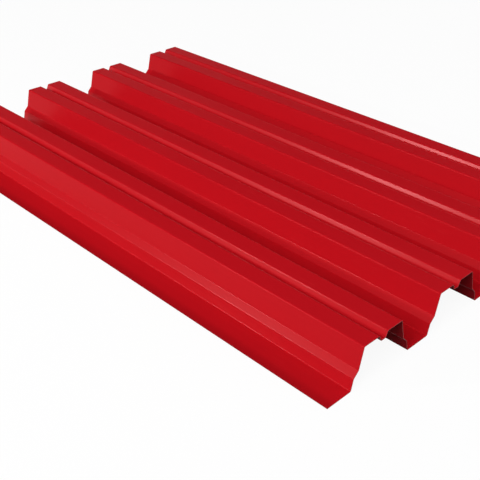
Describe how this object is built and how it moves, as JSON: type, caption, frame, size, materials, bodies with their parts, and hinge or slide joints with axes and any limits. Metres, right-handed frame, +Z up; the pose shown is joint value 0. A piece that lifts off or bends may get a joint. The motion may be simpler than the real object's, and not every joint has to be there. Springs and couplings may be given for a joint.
{
  "type": "profiled steel sheet",
  "caption": "Trapezoidal profiled sheet rolled from red coil-coated steel, with grooved crests and stepped webs, for covering roofs, decks and walls.",
  "frame": {"origin": "middle of the sheet's length and width, at the level of the surface it lies on", "axes": "+X across the sheet, +Y along the crests, +Z up out of the painted face"},
  "size_m": [0.801, 1.183, 0.07],
  "materials": {
    "red_coil_paint": "gloss"
  },
  "bodies": {
    "root": {"profiled_sheet": "red_coil_paint"}
  },
  "joints": []
}
